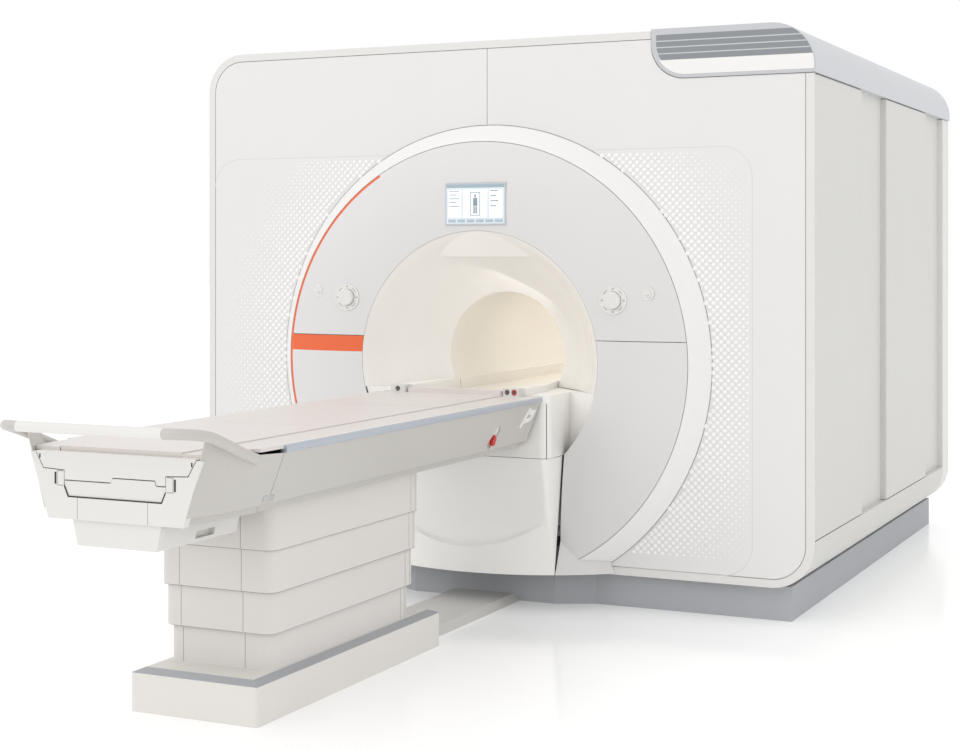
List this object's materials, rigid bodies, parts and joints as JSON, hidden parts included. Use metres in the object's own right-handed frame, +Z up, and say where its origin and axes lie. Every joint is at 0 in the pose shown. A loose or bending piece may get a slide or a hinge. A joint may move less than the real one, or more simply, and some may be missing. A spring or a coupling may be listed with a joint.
{
  "type": "mri scanner",
  "caption": "Closed-bore MRI scanner: boxy white magnet enclosure with a domed ring and flared bore, docked to a lifting patient table with a sliding top.",
  "frame": {"origin": "on the floor under the magnet's isocentre", "axes": "+Z up, +Y along the bore from the patient table towards the rear, +X to the right for a viewer facing the front"},
  "size_m": [3.112, 6.078, 2.606],
  "materials": {
    "plinth_grey": "satin",
    "casing_grey": "satin",
    "rim_white": "satin",
    "front_white": "fine satin",
    "ring_white": "gloss",
    "bezel_white": "gloss",
    "accent_orange": "gloss film",
    "funnel_white": "gloss",
    "pedestal_white": "satin gloss",
    "screen_glass": "gloss glass front",
    "control_grey": "satin",
    "vent_grey": "satin",
    "louvre_grey": "satin",
    "top_grey": "satin",
    "panel_grey": "satin",
    "rear_white": "satin",
    "bore_cream": "satin",
    "coil_resin": "cast resin over copper",
    "vessel_steel": "brushed",
    "cold_head_steel": "brushed",
    "frame_steel": "powder coat",
    "duct_grey": "powder coat",
    "foot_white": "satin",
    "knob_grey": "satin",
    "button_white": "gloss",
    "column_white": "satin",
    "table_white": "satin gloss",
    "handle_white": "satin",
    "rail_grey": "satin",
    "deck_white": "satin",
    "cap_white": "satin",
    "socket_grey": "satin",
    "drive_grey": "satin",
    "lever_red": "gloss",
    "board_white": "satin"
  },
  "bodies": {
    "machine": {"plinth_frame": "plinth_grey", "casing_shell": "casing_grey", "front_rim": "rim_white", "front_cover_left": "front_white", "front_cover_right": "front_white", "bevel_ring": "ring_white", "bezel_upper": "bezel_white", "bezel_lower_left": "bezel_white", "bezel_lower_right": "bezel_white", "accent_film": "accent_orange", "entry_funnel": "funnel_white", "pedestal_upper_cover": "pedestal_white", "pedestal_lower_cover": "pedestal_white", "display_screen": "screen_glass", "control_plates": "control_grey", "vent_frame": "vent_grey", "vent_louvres": "louvre_grey", "grey_top_cover": "top_grey", "roof_cover": "top_grey", "lower_skirts": "panel_grey", "side_doors_left": "panel_grey", "side_doors_right": "panel_grey", "rear_rim": "rim_white", "rear_cover": "rear_white", "bore_liner": "bore_cream", "gradient_coil": "coil_resin", "cryostat": "vessel_steel", "cold_head": "cold_head_steel", "magnet_saddles": "frame_steel", "bore_track": "bore_cream", "cable_duct": "duct_grey", "foot_box": "foot_white", "foot_strip": "plinth_grey", "column_cover_fixed": "column_white", "lift_outer_stage": "frame_steel"},
    "knob_left": {"knob_left": "knob_grey"},
    "knob_right": {"knob_right": "knob_grey"},
    "stop_button_left": {"stop_button_left": "button_white"},
    "stop_button_right": {"stop_button_right": "button_white"},
    "tier_lower": {"column_cover_lower": "column_white"},
    "tier_middle": {"column_cover_middle": "column_white"},
    "lift_stage": {"lift_middle_stage": "frame_steel"},
    "table": {"column_cover_upper": "column_white", "lift_inner_stage": "frame_steel", "table_frame": "frame_steel", "side_cover_left": "table_white", "side_cover_right": "table_white", "foot_cover_left": "table_white", "foot_cover_right": "table_white", "handle_bar": "handle_white", "edge_rails": "rail_grey", "table_deck": "deck_white", "end_cap_upper": "cap_white", "end_cap_lower": "cap_white", "under_box": "cap_white", "socket_blocks": "socket_grey", "slide_drive": "drive_grey"},
    "release_lever_left": {"release_lever_left": "lever_red"},
    "release_lever_right": {"release_lever_right": "lever_red"},
    "tabletop": {"tabletop_board": "board_white"}
  },
  "joints": [
    {"name": "table_lift", "type": "slide", "parent": "machine", "child": "table", "axis": [0, 0, 1], "range_m": [-0.385, 0]},
    {"name": "tier_middle_slide", "type": "slide", "parent": "machine", "child": "tier_middle", "axis": [0, 0, 1], "range_m": [-0.258, 0]},
    {"name": "tier_lower_slide", "type": "slide", "parent": "machine", "child": "tier_lower", "axis": [0, 0, 1], "range_m": [-0.13, 0]},
    {"name": "lift_stage_slide", "type": "slide", "parent": "machine", "child": "lift_stage", "axis": [0, 0, 1], "range_m": [-0.194, 0]},
    {"name": "tabletop_slide", "type": "slide", "parent": "table", "child": "tabletop", "axis": [0, 1, 0], "range_m": [0, 1.85]},
    {"name": "knob_left_turn", "type": "hinge", "parent": "machine", "child": "knob_left", "pos_m": [-0.678, -1.67, 1.393], "axis": [0, 1, 0], "range_deg": [-30, 30], "stiffness_Nm_per_rad": 0.2},
    {"name": "stop_button_left_push", "type": "slide", "parent": "machine", "child": "stop_button_left", "axis": [0, 1, 0], "range_m": [0, 0.004], "stiffness_N_per_m": 1500},
    {"name": "release_lever_left_pull", "type": "hinge", "parent": "table", "child": "release_lever_left", "pos_m": [-0.352, -2.236, 0.812], "axis": [1, 0, 0], "range_deg": [-18, 0], "stiffness_Nm_per_rad": 2},
    {"name": "knob_right_turn", "type": "hinge", "parent": "machine", "child": "knob_right", "pos_m": [0.678, -1.67, 1.393], "axis": [0, 1, 0], "range_deg": [-30, 30], "stiffness_Nm_per_rad": 0.2},
    {"name": "stop_button_right_push", "type": "slide", "parent": "machine", "child": "stop_button_right", "axis": [0, 1, 0], "range_m": [0, 0.004], "stiffness_N_per_m": 1500},
    {"name": "release_lever_right_pull", "type": "hinge", "parent": "table", "child": "release_lever_right", "pos_m": [0.352, -2.236, 0.812], "axis": [1, 0, 0], "range_deg": [-18, 0], "stiffness_Nm_per_rad": 2}
  ],
  "couplings": [
    {"joint": "tier_middle_slide", "follows": "table_lift", "ratio": 0.6667},
    {"joint": "tier_lower_slide", "follows": "table_lift", "ratio": 0.3333},
    {"joint": "lift_stage_slide", "follows": "table_lift", "ratio": 0.5}
  ]
}
